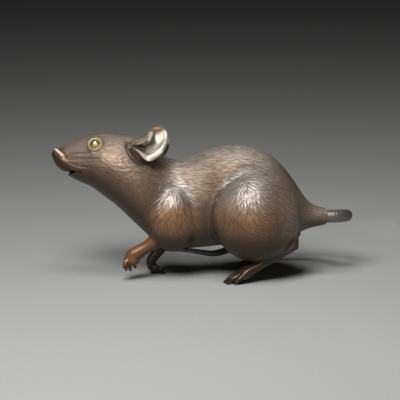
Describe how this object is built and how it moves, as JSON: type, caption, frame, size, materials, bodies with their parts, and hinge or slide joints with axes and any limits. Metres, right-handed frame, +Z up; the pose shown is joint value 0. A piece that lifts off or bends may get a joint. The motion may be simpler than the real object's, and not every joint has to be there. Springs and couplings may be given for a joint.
{
  "type": "mouse figurine",
  "caption": "Patinated cast bronze mouse at a run, with engraved fur, gilt eyes and a separate blackened tail that curls round under its belly.",
  "frame": {"origin": "on the ground, under the middle of the whole figure's bounding box", "axes": "+X from nose to rump, +Y to the mouse's right, +Z up; the mouse's left flank faces -Y"},
  "size_m": [0.1206, 0.0542, 0.0625],
  "materials": {
    "bronze": "brown patina over cast and chased bronze, rubbed to copper on muzzle, ears and paws",
    "blackened_bronze": "black patina, satin",
    "gilt": "gilt, polished"
  },
  "bodies": {
    "root": {"body": "bronze", "tail": "blackened_bronze", "eye_left": "gilt", "eye_right": "gilt"}
  },
  "joints": []
}
